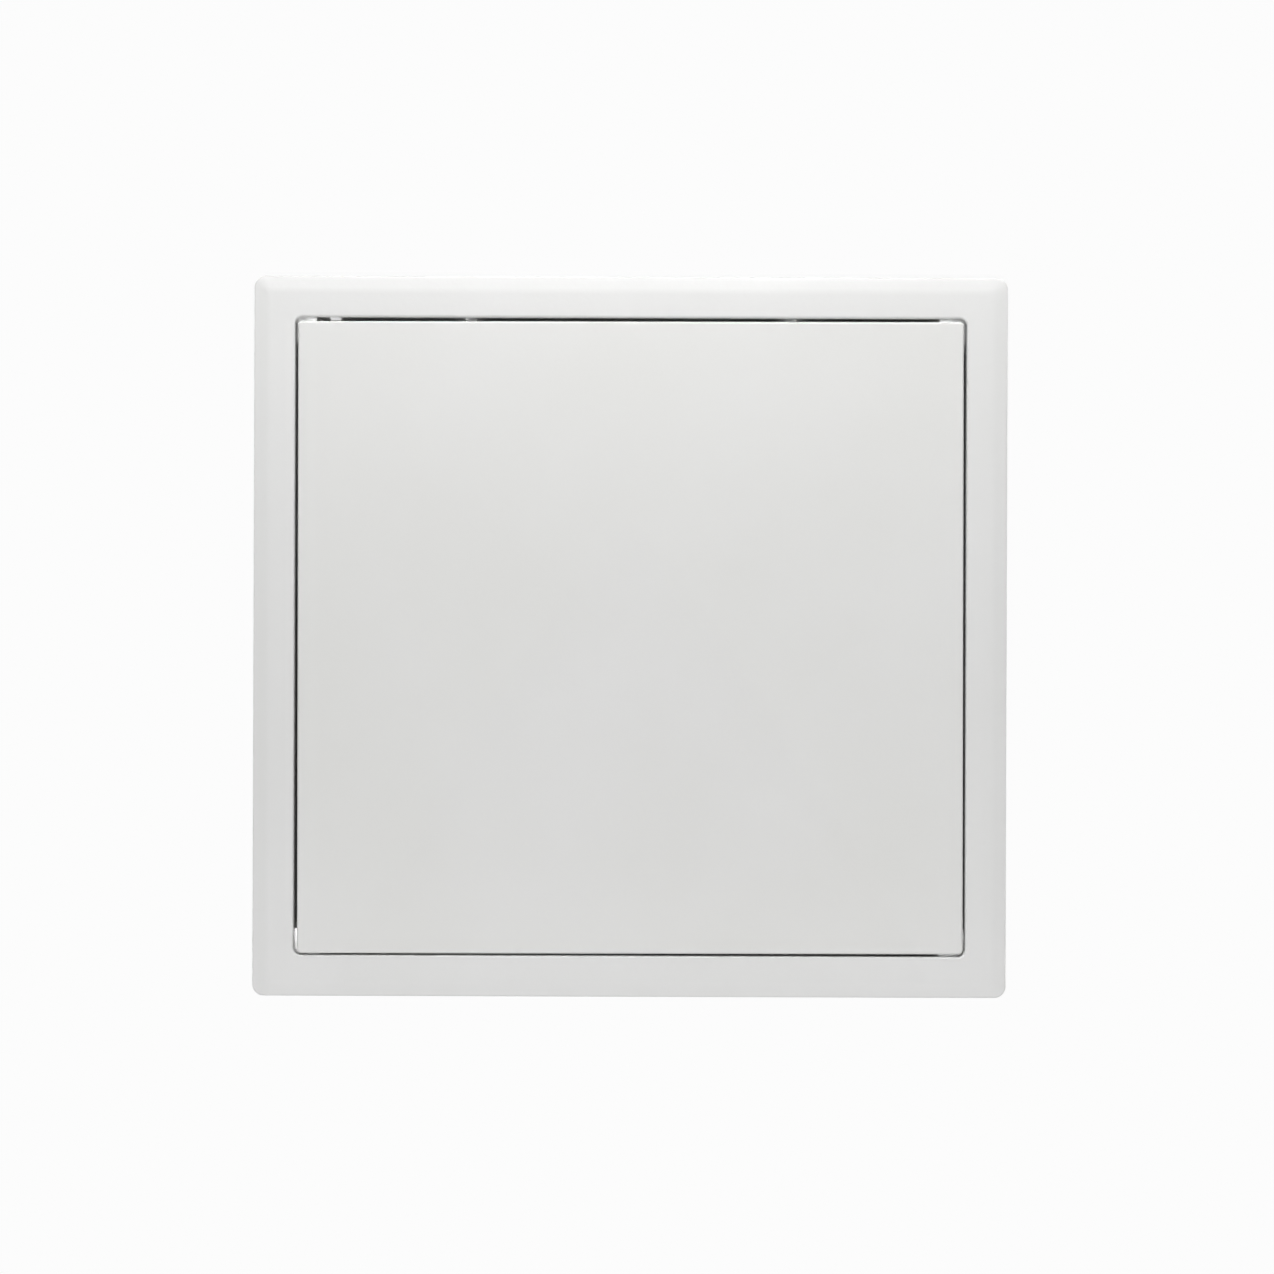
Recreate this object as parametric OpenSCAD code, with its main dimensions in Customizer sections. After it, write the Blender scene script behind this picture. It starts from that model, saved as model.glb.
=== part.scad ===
// Ceiling access panel: picture-frame surround, flush hinged door and two touch latches.
// X runs right, Z up the face and Y back into the ceiling void.
// The plane y = 0 is the face of the ceiling that the surround lies on.

/* [Surround] */
// Clear width between the webs
opening_w = 400; // [320:1:620]
// Clear height between the webs
opening_h = 380; // [320:1:620]
// Width of the flange that covers the edge of the cut-out
flange_w = 24.5; // [20:0.5:40]
// Height of the flange face in front of the ceiling
flange_rise = 4; // [3.6:0.1:6]
// Sheet thickness of the surround
sheet_t = 1; // [0.8:0.1:1.2]
// Outer corner radius, which is also the width of the bevelled edge
outer_r = 7; // [6.5:0.5:12]
// Radius of the soft break between the flat of the flange and its bevel
break_r = 18; // [6:1:24]
// Width of the hem that lies on the ceiling
hem_w = 6; // [4:0.5:6.5]
// Inside radius of the hem's fold
fold_r = 0.2; // [0.1:0.1:0.4]
// Height of the upright nose at the hemmed edge
edge_flat = 0.1; // [0.05:0.05:0.3]
// Lap of one bent length of the surround into the next
sheet_lap = 0.3; // [0.2:0.1:0.5]
// Corner radius of the opening
opening_r = 4.5; // [3:0.5:8]
// Inside radius of the bend between flange and web
web_bend = 0.5; // [0.3:0.1:1.5]
// Reach of the web behind the face of the ceiling
web_back = 52; // [50:1:90]

/* [Fixing holes] */
// Diameter of the fixing holes in the webs
fix_d = 5; // [4:0.5:7]
// Spacing of the two holes in the top and bottom webs
fix_span_x = 290; // [250:1:320]
// Spacing of the two holes in the side webs
fix_span_z = 240; // [150:1:300]
// Distance of the holes behind the face of the ceiling
fix_y = 41; // [38:0.5:46]

/* [Door] */
// Mean shadow gap between door and surround
door_gap = 1.75; // [1.5:0.05:3]
// Distance that the door hangs below the middle of the opening
door_low = 0.45; // [0:0.05:0.6]
// Distance that the door sits to the right of the middle of the opening
door_side = 0.2; // [0:0.05:0.4]
// Sheet thickness of the door
door_t = 1.2; // [1:0.1:1.5]
// Depth of the door tray
door_depth = 20; // [18:0.5:24]
// Corner radius of the door
door_r = 2.5; // [2:0.1:4]
// Inside radius of the door's folds
door_fold = 0.3; // [0.2:0.1:0.5]
// Width of the inturned lip round the back of the tray
door_lip = 12; // [10:0.5:14]
// Width of the relief slit at the lip's mitred corners
lip_slit = 0.8; // [0.4:0.1:1.5]

/* [Stiffeners] */
// Distance of the stiffeners from the middle of the door
hat_x = 96; // [80:1:115]
// Width across the crown of a stiffener
hat_w = 28; // [26:1:36]
// Width of each foot of a stiffener
hat_foot = 9; // [6:0.5:14]
// Sheet thickness of a stiffener
hat_t = 1; // [0.8:0.1:1.2]
// Inside bend radius of a stiffener
hat_bend = 1.5; // [1:0.1:3]
// Distance of the crown below the back of the tray
hat_drop = 0.8; // [0.5:0.1:2]
// Free length between a stiffener and the pieces at its ends
hat_end = 1.5; // [1:0.5:6]

/* [Stops and seals] */
// Leg length of the stop angles
stop_leg = 12; // [10:0.5:16]
// Sheet thickness of the stop angles
stop_t = 1.2; // [1:0.1:1.5]
// Inside bend radius of the stop angles
stop_bend = 0.4; // [0.2:0.1:1]
// Distance of the stop angles' ends from the open corners
stop_end = 14; // [12.5:0.5:20]
// Clearance of the hinge arm's slot in the top stop
stop_slot = 1; // [0.8:0.1:1.5]
// Length of the stop's leg that stays whole behind its slots
slot_back = 8; // [6:0.5:9]
// Distance of the brackets behind the stop angles
mount_gap = 0.5; // [0.3:0.1:1]
// Thickness of the side and bottom seals
seal_t = 3.2; // [2:0.1:5]
// Thickness of the low seal on the hinge side
seal_low_t = 0.8; // [0.5:0.1:1.2]
// Width of the seals
seal_w = 9; // [6:0.5:10]
// Rounding of the seals' front edges
seal_r = 0.6; // [0.2:0.1:0.7]
// Distance of the seals' ends from the corners
seal_end = 18; // [16:0.5:40]
// Clearance between door and seals
seal_gap = 0.3; // [0.2:0.1:0.6]
// Distance of the side seals below the door's swing at the hinges
seal_drop = 0.5; // [0.3:0.1:2]
// Length of the short seal pad in the top left corner
seal_pad = 8; // [5:0.5:12]
// Distance of the pad from the corner
pad_end = 11; // [8:0.5:16]
// Gap in the top seal beside the pad and at each hinge
seal_break = 6.5; // [5:0.5:10]

/* [Corner cleats] */
// Leg length of the corner cleats
cleat_leg = 22; // [15:0.5:30]
// Thickness of the corner cleats
cleat_t = 1.5; // [1:0.1:2]
// Width of the corner cleats along the web
cleat_w = 14; // [8:0.5:16]
// Distance of the cleats behind the stop angles
cleat_back = 2.5; // [1:0.5:4]
// Clearance of the cleats in the rounded corners
cleat_gap = 0.5; // [0.3:0.1:1]

/* [Hinges] */
// Distance of the hinges from the middle of the panel
hinge_x = 96; // [60:1:125]
// Distance of the hinge axis below the door's top edge
hinge_drop = 8; // [7:0.1:9]
// Distance of the hinge axis behind the door's face
hinge_inset = 5; // [4.8:0.1:5.4]
// Diameter of the hinge pin
pin_d = 3; // [2.5:0.1:3.2]
// Running clearance round the pin, per side
pin_clear = 0.05; // [0.02:0.01:0.08]
// Fixed fit round the pin in the bracket, per side
pin_seat = 0.02; // [0.01:0.01:0.03]
// Width of the bracket arm and its barrel
arm_w = 6; // [5:0.1:7]
// Thickness of the bracket arm
arm_t = 3; // [2.5:0.1:3.2]
// Outer radius of the barrel
barrel_r = 3; // [2.6:0.1:3.2]
// Side clearance between barrel and leaf ears
ear_gap = 0.6; // [0.3:0.1:1]
// Thickness of the leaf ears and of the leaf
leaf_t = 1.2; // [1:0.1:1.4]
// Outer radius of the leaf ears
ear_r = 3.6; // [3.2:0.1:3.7]
// Width of the leaf
leaf_w = 22; // [18:0.5:26]
// Reach of the leaf below the hinge axis
leaf_down = 12; // [8:0.5:16]
// Reach of the leaf above the hinge axis
leaf_up = 5; // [4.5:0.1:6]
// Rim of the pin's head and clip beyond the pin
pin_rim = 0.7; // [0.5:0.1:0.8]
// Thickness of the pin's head
pin_head_t = 1.2; // [0.8:0.1:2]
// Thickness of the push-on clip
clip_t = 0.8; // [0.5:0.1:1.2]
// Length of the pin beyond its clip
pin_end = 0.8; // [0.4:0.1:1.2]
// End clearance of head and clip beside the ears
end_gap = 0.3; // [0.2:0.1:0.6]
// Clearance of the door's notch beside the bracket arm
notch_gap = 1.4; // [1:0.1:2]
// Clearance of the door's notch in front of the bracket arm
notch_front = 0.7; // [0.4:0.1:1]
// Clearance of the leaf's slot below the barrel
barrel_gap = 1.2; // [0.6:0.1:1.5]
// Chamfer at the arm's rear corner
arm_cut = 1; // [0.5:0.1:1.5]
// Width of the bracket foot
foot_w = 28; // [24:0.5:36]
// Depth of the bracket foot
foot_d = 15; // [12:0.5:18]
// Thickness of the bracket foot
foot_t = 2; // [1.5:0.1:2.5]
// Spacing of the two rivets in the foot
foot_span = 18; // [14:0.5:24]
// Leg length of the gusset between the arm and its riser
gusset = 6; // [3:0.5:7]

/* [Touch latches] */
// Distance of the latches from the middle of the panel
latch_x = 96; // [84:1:108]
// Distance of the latch axis above the door's bottom edge
latch_up = 20; // [19:0.5:30]
// Width of the latch housing
latch_w = 18; // [16:0.5:22]
// Height of the latch housing
latch_h = 16; // [14:0.5:18]
// Length of the latch housing
latch_len = 28; // [26:0.5:36]
// Corner radius of the latch housing
latch_r = 2; // [1:0.1:3]
// Distance of the housing behind the front of the stop angles
latch_set = 1.5; // [1.5:0.1:4]
// Thickness of the housing's front wall
latch_wall = 3; // [2:0.1:4]
// Diameter of the spring chamber
chamber_d = 11; // [10:0.1:12]
// Diameter of the plunger
plunger_d = 8; // [6:0.1:8.4]
// Running clearance round the plunger, per side
plunger_clear = 0.08; // [0.05:0.01:0.1]
// Length of the plunger's collar
collar_len = 2; // [1.5:0.1:3]
// Clearance round the collar in its chamber, per side
collar_clear = 0.2; // [0.1:0.05:0.3]
// Diameter of the spring guide behind the collar
stem_d = 5; // [3:0.1:5.4]
// Length of the spring guide
stem_len = 12; // [8:0.5:14]
// Diameter of the magnet
magnet_d = 6; // [4:0.1:6.4]
// Thickness of the magnet
magnet_t = 3; // [2:0.1:3.4]
// Distance that the magnet stands proud of the plunger
magnet_proud = 0.3; // [0.1:0.05:0.5]
// Air gap between magnet and strike plate at rest
magnet_gap = 0.3; // [0.2:0.05:0.6]
// Length of the cap's spigot in the chamber
spigot_len = 4; // [3:0.5:5]
// Clearance round the spigot, per side
spigot_clear = 0.1; // [0.05:0.05:0.2]
// Thickness of the housing's rear cap
cap_t = 2; // [1.5:0.1:3]
// Wire diameter of the spring
wire_d = 1.1; // [0.8:0.1:1.2]
// Mean diameter of the spring
coil_d = 8; // [7:0.1:8.6]
// Turns of the spring
coil_turns = 7; // [5:1:9]
// Clearance at each end of the spring
coil_gap = 0.05; // [0.02:0.01:0.1]
// Sheet thickness of the latch bracket
clamp_t = 1.5; // [1.2:0.1:2]
// Depth of the latch bracket
clamp_d = 15; // [13:0.5:16]
// Width of the latch bracket's foot
clamp_foot = 20; // [16:0.5:26]
// Distance of the foot's rivets from the latch housing
clamp_rivet = 12; // [9:0.5:15]
// Inside bend radius of the latch bracket
clamp_bend = 1; // [0.5:0.1:2]
// Diameter of the latch screws
screw_d = 2.8; // [2:0.1:3]
// Spacing of the two screws in each housing
screw_span = 8; // [7:0.5:9]
// Depth of the screws in the housing
screw_bite = 2.8; // [2:0.1:3]
// Spare depth of the screw holes
screw_spare = 0.2; // [0.1:0.1:0.4]

/* [Strike plates] */
// Width of a strike plate
strike_w = 23; // [20:0.5:26]
// Height of a strike plate
strike_h = 13; // [10:0.5:14]
// Thickness of a strike plate
strike_t = 1.5; // [1:0.1:2]
// Corner radius of a strike plate
strike_r = 1.5; // [0.5:0.1:3]
// Length of the strike screws below the stiffener's crown
screw_tail = 2; // [1:0.1:4]
// Spacing of the two screws in a strike plate
strike_span = 16; // [15:0.5:18]

/* [Rivets and screw heads] */
// Shank diameter of the rivets
rivet_d = 3.2; // [2.4:0.1:4]
// Head diameter of the rivets
rivet_head_d = 6; // [5:0.1:8]
// Head thickness of the rivets
rivet_head_t = 1; // [0.6:0.1:1.5]
// Diameter of the rivets' blind side
rivet_tail_d = 4.8; // [4.2:0.1:6]
// Length of the rivets' blind side
rivet_tail_t = 1.3; // [0.8:0.1:2]
// Fit of rivets and screws in their holes, per side
hole_fit = 0.02; // [0.01:0.01:0.05]
// Head diameter of the screws
head_d = 5.2; // [4:0.1:6]
// Head thickness of the screws
head_t = 1.6; // [1:0.1:2]

/* [Hidden] */
$fn = 48;
arc_n = 6;
outer_w = opening_w + 2 * flange_w;
outer_h = opening_h + 2 * flange_w;
face_y = -flange_rise;
edge_r = sheet_t + fold_r;
reveal_r = sheet_t + web_bend;
bend_x = opening_r + reveal_r;

// The bevel takes up the rise that the hemmed edge leaves.
function bevel_try(b) = atan((flange_rise - break_r * (1 - cos(b)) - edge_r * (1 + cos(b)) - edge_flat)
    / (outer_r - edge_r * (1 - sin(b))));
function bevel_fit(n, b) = n == 0 ? b : bevel_fit(n - 1, bevel_try(b));
bevel = bevel_fit(12, 12);
break_w = break_r * sin(bevel);
break_y = face_y + break_r * (1 - cos(bevel));
facet_d = outer_r - edge_r * (1 - sin(bevel));
nose_y = break_y + facet_d * tan(bevel) + edge_r * cos(bevel);

door_w = opening_w - 2 * door_gap;
door_h = opening_h - 2 * door_gap;
door_top = door_h / 2 - door_low;
door_bottom = -door_h / 2 - door_low;
door_back = face_y + door_depth;
door_bend = door_t + door_fold;
skin_y = face_y + door_t;
door_core = door_r - door_bend;

stop_y = door_back + seal_gap + seal_t;
stop_r = stop_t + stop_bend;
mount_y = stop_y + stop_leg + mount_gap;

hinge_z = door_top - hinge_drop;
hinge_y = face_y + hinge_inset;
ear_in = arm_w / 2 + ear_gap;
ear_out = ear_in + leaf_t;
notch_w = arm_w + 2 * notch_gap;
notch_y = hinge_y - arm_t / 2 - notch_front;
seal_side_top = hinge_z - hinge_drop - seal_drop;

hat_y = door_back - hat_drop;
hat_r = hat_t + hat_bend;
hat_low = door_bottom + door_lip + hat_end;
hat_high = hinge_z - leaf_down - hat_end;

latch_z = door_bottom + latch_up;
strike_y = hat_y + strike_t;
magnet_y = strike_y + magnet_gap;
tip_y = magnet_y + magnet_proud;
house_y = stop_y + latch_set;
chamber_y = house_y + latch_wall;
collar_y = chamber_y + end_gap;
stem_y = collar_y + collar_len;
house_back = house_y + latch_len;
spigot_y = house_back - spigot_len;
clamp_x = latch_x + latch_w / 2;
clamp_r = clamp_t + clamp_bend;
screw_y = mount_y + clamp_d / 2;

white = [0.9, 0.9, 0.89];
zinc = [0.72, 0.74, 0.76];
foam = [0.08, 0.08, 0.09];
nylon = [0.82, 0.82, 0.8];
steel = [0.5, 0.52, 0.55];

// Points of an arc from angle a to angle b
function arc(x, y, r, a, b, n = arc_n) =
    [for (i = [0:n]) let (c = a + (b - a) * i / n) [x + r * cos(c), y + r * sin(c)]];

// A flat outline in X and Z, given its thickness in Y
module slab(y0, y1) {
    translate([0, y1, 0])
        rotate([90, 0, 0])
            linear_extrude(y1 - y0)
                children();
}

// An outline in Y and Z, given its width in X
module across(x0, x1) {
    translate([x0, 0, 0])
        rotate([90, 0, 90])
            linear_extrude(x1 - x0)
                children();
}

// An outline in X and Y, given its height in Z
module upright(z0, z1) {
    translate([0, 0, z0])
        linear_extrude(z1 - z0)
            children();
}

// A section of outward distance and Y, run along the top side at height z
module run(x0, x1, z) {
    translate([x1, 0, z])
        rotate([0, -90, 0])
            linear_extrude(x1 - x0)
                children();
}

// A section of radius and Y, turned from the top side towards the right side
module turn(angle) {
    rotate([0, -90, 0])
        rotate([-90, 0, 0])
            rotate_extrude(angle = angle)
                children();
}

module both_ends() {
    children();
    mirror([1, 0, 0])
        children();
}

module rounded(w, h, r) {
    square([w - 2 * r, h], center = true);
    square([w, h - 2 * r], center = true);
    for (x = [-1, 1], z = [-1, 1])
        translate([x * (w / 2 - r), z * (h / 2 - r)])
            circle(r);
}

// Hemmed and bevelled outer edge of the flange
module edge_section() {
    polygon(concat(
        [[0, break_y]],
        arc(outer_r - edge_r, nose_y, edge_r, bevel - 90, 0),
        arc(outer_r - edge_r, -edge_r, edge_r, 0, 90),
        [[outer_r - hem_w, 0], [outer_r - hem_w, -sheet_t]],
        arc(outer_r - edge_r, -edge_r, fold_r, 90, 0),
        arc(outer_r - edge_r, nose_y, fold_r, 0, bevel - 90),
        [[0, break_y + sheet_t / cos(bevel)]]
    ));
}

// Flat of the flange with the soft break into the bevel
module flat_section() {
    polygon(concat(
        [[-flange_w, face_y]],
        arc(-break_w, face_y + break_r, break_r, -90, bevel - 90),
        [[0, break_y + sheet_t / cos(bevel)]],
        arc(-break_w, face_y + break_r, break_r - sheet_t, bevel - 90, -90),
        [[-flange_w, face_y + sheet_t]]
    ));
}

// Lap inside the sheet between the flat of the flange and its bevel
module lap_section() {
    polygon([
        [-sheet_lap, break_y + sheet_t / 3], [sheet_lap, break_y + sheet_t / 3],
        [sheet_lap, break_y + sheet_t * 2 / 3], [-sheet_lap, break_y + sheet_t * 2 / 3]
    ]);
}

// Web with the bend that joins it to the flange, and its lap in the flange
module web_section() {
    polygon(concat(
        [[bend_x + sheet_lap, face_y + sheet_t * 2 / 3], [bend_x + sheet_lap, face_y + sheet_t / 3]],
        arc(bend_x, face_y + reveal_r, reveal_r, 270, 180),
        [[opening_r, web_back], [opening_r + sheet_t, web_back]],
        arc(bend_x, face_y + reveal_r, web_bend, 180, 270)
    ));
}

// One mitred rail in the top place: clear is its own opening length, span the opening across it
module rail(clear, span) {
    half = clear / 2 + flange_w;
    rise = span / 2 + flange_w;
    core_x = clear / 2 - opening_r;
    core_z = span / 2 - opening_r;
    union() {
        run(outer_r - half, half - outer_r, rise - outer_r)
            edge_section();
        run(outer_r - half + sheet_lap, half - outer_r - sheet_lap, rise - outer_r)
            lap_section();
        both_ends()
            translate([half - outer_r, 0, rise - outer_r])
                turn(45)
                    edge_section();
        intersection() {
            run(-half, half, rise - outer_r)
                flat_section();
            slab(face_y - 1, 1)
                difference() {
                    polygon([[-half, rise], [half, rise], [core_x, core_z], [-core_x, core_z]]);
                    translate([-core_x, core_z - 1])
                        square([2 * core_x, bend_x + 1]);
                    for (x = [-core_x, core_x])
                        translate([x, core_z])
                            circle(bend_x);
                }
        }
        run(-core_x, core_x, core_z)
            web_section();
        both_ends()
            translate([core_x, 0, core_z])
                turn(45)
                    web_section();
    }
}

// Holes through a web in the top place
module web_holes(span, d, xs, ys) {
    for (x = xs, y = ys)
        translate([x, y, span / 2 - 1])
            cylinder(d = d, h = sheet_t + 2);
}

module frame_top_rail() {
    color(white)
        difference() {
            rail(opening_w, opening_h);
            web_holes(opening_h, fix_d, [-fix_span_x / 2, fix_span_x / 2], [fix_y]);
            for (x = [-hinge_x, hinge_x])
                web_holes(opening_h, rivet_d + 2 * hole_fit, [x - foot_span / 2, x + foot_span / 2],
                    [mount_y + foot_d / 2]);
        }
}

module frame_bottom_rail() {
    color(white)
        rotate([0, 180, 0])
            difference() {
                rail(opening_w, opening_h);
                web_holes(opening_h, fix_d, [-fix_span_x / 2, fix_span_x / 2], [fix_y]);
                for (x = [-1, 1])
                    web_holes(opening_h, rivet_d + 2 * hole_fit, [x * (clamp_x + clamp_rivet)],
                        [screw_y - screw_span / 2, screw_y + screw_span / 2]);
            }
}

module stile() {
    difference() {
        rail(opening_h, opening_w);
        web_holes(opening_w, fix_d, [-fix_span_z / 2, fix_span_z / 2], [fix_y]);
    }
}

module frame_right_stile() {
    color(white)
        rotate([0, 90, 0])
            stile();
}

module frame_left_stile() {
    color(white)
        rotate([0, -90, 0])
            stile();
}

// Folded stop angle: ledge towards the door, leg on the web
module stop_section() {
    polygon(concat(
        [[-stop_leg, stop_y]],
        arc(-stop_r, stop_y + stop_r, stop_r, -90, 0),
        [[0, stop_y + stop_leg], [-stop_t, stop_y + stop_leg]],
        arc(-stop_r, stop_y + stop_r, stop_bend, 0, -90),
        [[-stop_leg, stop_y + stop_t]]
    ));
}

module stop_short() {
    reach = opening_h / 2 - stop_end;
    run(-reach, reach, opening_w / 2)
        stop_section();
}

// Slot through the ledge of the top stop
module ledge_slot(x, w) {
    translate([x - w / 2, stop_y - 1, opening_h / 2 - stop_leg - 1])
        cube([w, stop_leg - slot_back + 1, stop_leg + 2]);
}

module stop_top() {
    color(white)
        difference() {
            run(pad_end - opening_w / 2, opening_w / 2 - stop_end, opening_h / 2)
                stop_section();
            for (x = [-hinge_x, hinge_x])
                ledge_slot(x, arm_w + 2 * stop_slot);
            ledge_slot(pad_end + seal_pad + seal_break / 2 - opening_w / 2, seal_break);
        }
}

module stop_bottom() {
    color(white)
        rotate([0, 180, 0])
            run(stop_end - opening_w / 2, opening_w / 2 - stop_end, opening_h / 2)
                stop_section();
}

module stop_right() {
    color(white)
        rotate([0, 90, 0])
            stop_short();
}

module stop_left() {
    color(white)
        rotate([0, -90, 0])
            stop_short();
}

// Foam strip on a ledge, with rounded front edges
module seal_section(t) {
    polygon(concat(
        [[0, stop_y], [-seal_w, stop_y]],
        arc(seal_r - seal_w, stop_y - t + seal_r, seal_r, 180, 270, 3),
        arc(-seal_r, stop_y - t + seal_r, seal_r, 270, 360, 3)
    ));
}

module seal_top() {
    far = opening_w / 2 - seal_end;
    pad = opening_w / 2 - pad_end - seal_pad;
    color(foam) {
        run(seal_break / 2 - hinge_x, hinge_x - seal_break / 2, opening_h / 2)
            seal_section(seal_low_t);
        run(hinge_x + seal_break / 2, far, opening_h / 2)
            seal_section(seal_low_t);
        run(seal_break - pad, -hinge_x - seal_break / 2, opening_h / 2)
            seal_section(seal_low_t);
        run(-pad - seal_pad, -pad, opening_h / 2)
            seal_section(seal_low_t);
    }
}

module seal_bottom() {
    far = opening_w / 2 - seal_end;
    color(foam)
        rotate([0, 180, 0])
            run(-far, far, opening_h / 2)
                seal_section(seal_t);
}

module seal_right() {
    color(foam)
        rotate([0, 90, 0])
            run(-seal_side_top, opening_h / 2 - seal_end, opening_w / 2)
                seal_section(seal_t);
}

module seal_left() {
    color(foam)
        rotate([0, -90, 0])
            run(seal_end - opening_h / 2, seal_side_top, opening_w / 2)
                seal_section(seal_t);
}

// Four angle cleats that hold the mitred corners square
module corner_cleats() {
    cut = opening_r + cleat_gap;
    color(white)
        for (x = [0, 1], z = [0, 1])
            mirror([x, 0, 0])
                mirror([0, 0, z])
                    slab(mount_y + cleat_back, mount_y + cleat_back + cleat_w)
                        translate([opening_w / 2, opening_h / 2])
                            polygon([
                                [-cleat_leg, 0], [-cut, 0], [0, -cut], [0, -cleat_leg],
                                [-cleat_t, -cleat_leg], [-cleat_t, -cut - cleat_t / 2],
                                [-cut - cleat_t / 2, -cleat_t], [-cleat_leg, -cleat_t]
                            ]);
}

// Hinge bracket of the surround: barrel, arm through the stop, riser and riveted foot
module hinge_bracket_right() {
    under = opening_h / 2 - foot_t;
    color(zinc)
        translate([hinge_x, 0, 0])
            difference() {
                union() {
                    across(-arm_w / 2, arm_w / 2) {
                        translate([hinge_y, hinge_z])
                            circle(barrel_r);
                        polygon([
                            [hinge_y, hinge_z - arm_t / 2], [mount_y + arm_t - arm_cut, hinge_z - arm_t / 2],
                            [mount_y + arm_t, hinge_z - arm_t / 2 + arm_cut],
                            [mount_y + arm_t, under - gusset / 2], [mount_y + arm_t + gusset / 2, under],
                            [mount_y + arm_t + gusset / 2, under + foot_t / 2],
                            [mount_y, under + foot_t / 2], [mount_y, hinge_z + arm_t / 2 + gusset / 2],
                            [mount_y - gusset / 2, hinge_z + arm_t / 2], [hinge_y, hinge_z + arm_t / 2]
                        ]);
                    }
                    slab(mount_y, mount_y + foot_d)
                        translate([-foot_w / 2, under])
                            square([foot_w, foot_t]);
                }
                translate([-arm_w, hinge_y, hinge_z])
                    rotate([0, 90, 0])
                        cylinder(d = pin_d + 2 * pin_seat, h = 2 * arm_w);
                for (x = [-foot_span / 2, foot_span / 2])
                    translate([x, mount_y + foot_d / 2, under - 1])
                        cylinder(d = rivet_d + 2 * hole_fit, h = foot_t + 2);
            }
}

module hinge_bracket_left() {
    mirror([1, 0, 0])
        hinge_bracket_right();
}

module hinge_pin_right() {
    color(steel)
        translate([hinge_x, hinge_y, hinge_z])
            rotate([0, 90, 0]) {
                translate([0, 0, -ear_out - end_gap - clip_t - pin_end])
                    cylinder(d = pin_d, h = 2 * (ear_out + end_gap) + clip_t + pin_end);
                translate([0, 0, ear_out + end_gap])
                    cylinder(d = pin_d + 2 * pin_rim, h = pin_head_t);
            }
}

module hinge_pin_left() {
    mirror([1, 0, 0])
        hinge_pin_right();
}

module hinge_clips() {
    color(steel)
        both_ends()
            translate([hinge_x - ear_out - end_gap - clip_t, hinge_y, hinge_z])
                rotate([0, 90, 0])
                    difference() {
                        cylinder(d = pin_d + 2 * pin_rim, h = clip_t);
                        translate([0, 0, -1])
                            cylinder(d = pin_d + 2 * pin_seat, h = clip_t + 2);
                    }
}

// Blind rivet with its head at z = 0 and its grip above the head
module rivet(grip) {
    translate([0, 0, -rivet_head_t])
        cylinder(d = rivet_head_d, h = rivet_head_t);
    translate([0, 0, -rivet_head_t])
        cylinder(d = rivet_d, h = rivet_head_t + grip + rivet_tail_t);
    translate([0, 0, grip])
        cylinder(d = rivet_tail_d, h = rivet_tail_t);
}

module hinge_rivets() {
    color(zinc)
        both_ends()
            for (x = [-foot_span / 2, foot_span / 2])
                translate([hinge_x + x, mount_y + foot_d / 2, opening_h / 2 - foot_t])
                    rivet(foot_t + sheet_t);
}

// Hinge leaf of the door: forked plate on the skin with two ears
module hinge_leaf_right() {
    slot = 2 * ear_in;
    color(zinc)
        translate([hinge_x, 0, 0])
            difference() {
                union() {
                    slab(skin_y, skin_y + leaf_t)
                        translate([-leaf_w / 2, hinge_z - leaf_down])
                            square([leaf_w, leaf_down + leaf_up]);
                    for (x = [-ear_out, ear_in])
                        across(x, x + leaf_t) {
                            translate([hinge_y, hinge_z])
                                circle(ear_r);
                            translate([skin_y + leaf_t / 2, hinge_z - ear_r])
                                square([hinge_inset - door_t - leaf_t / 2, 2 * ear_r]);
                        }
                }
                translate([-slot / 2, skin_y - 1, hinge_z - barrel_r - barrel_gap])
                    cube([slot, leaf_t + 2, barrel_r + barrel_gap + leaf_up + 1]);
                translate([-leaf_w, hinge_y, hinge_z])
                    rotate([0, 90, 0])
                        cylinder(d = pin_d + 2 * pin_clear, h = 2 * leaf_w);
            }
}

module hinge_leaf_left() {
    mirror([1, 0, 0])
        hinge_leaf_right();
}

// Folded L bracket that carries a latch from the bottom web
module latch_bracket_right() {
    base = -opening_h / 2;
    top = latch_z + latch_h / 2;
    color(zinc)
        difference() {
            translate([clamp_x, mount_y, base])
                rotate([90, 0, 0])
                    mirror([0, 0, 1])
                        linear_extrude(clamp_d)
                            polygon(concat(
                                [[0, top - base]],
                                arc(clamp_r, clamp_r, clamp_r, 180, 270),
                                [[clamp_foot, 0], [clamp_foot, clamp_t]],
                                arc(clamp_r, clamp_r, clamp_bend, 270, 180),
                                [[clamp_t, top - base]]
                            ));
            for (y = [-screw_span / 2, screw_span / 2]) {
                translate([clamp_x - 1, screw_y + y, latch_z])
                    rotate([0, 90, 0])
                        cylinder(d = screw_d + 2 * hole_fit, h = clamp_t + 2);
                translate([clamp_x + clamp_rivet, screw_y + y, base - 1])
                    cylinder(d = rivet_d + 2 * hole_fit, h = clamp_t + 2);
            }
        }
}

module latch_bracket_left() {
    mirror([1, 0, 0])
        latch_bracket_right();
}

// Moulded housing: front bearing, spring chamber and two screw holes
module latch_housing_right() {
    color(nylon)
        difference() {
            slab(house_y, house_back)
                translate([latch_x, latch_z])
                    rounded(latch_w, latch_h, latch_r);
            translate([latch_x, house_back + 1, latch_z])
                rotate([90, 0, 0])
                    cylinder(d = chamber_d, h = house_back + 1 - chamber_y);
            translate([latch_x, house_back, latch_z])
                rotate([90, 0, 0])
                    cylinder(d = plunger_d + 2 * plunger_clear, h = latch_len + 1);
            for (y = [-screw_span / 2, screw_span / 2])
                translate([clamp_x + 1, screw_y + y, latch_z])
                    rotate([0, -90, 0])
                        cylinder(d = screw_d + 2 * hole_fit, h = screw_bite + screw_spare + 1);
        }
}

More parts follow.
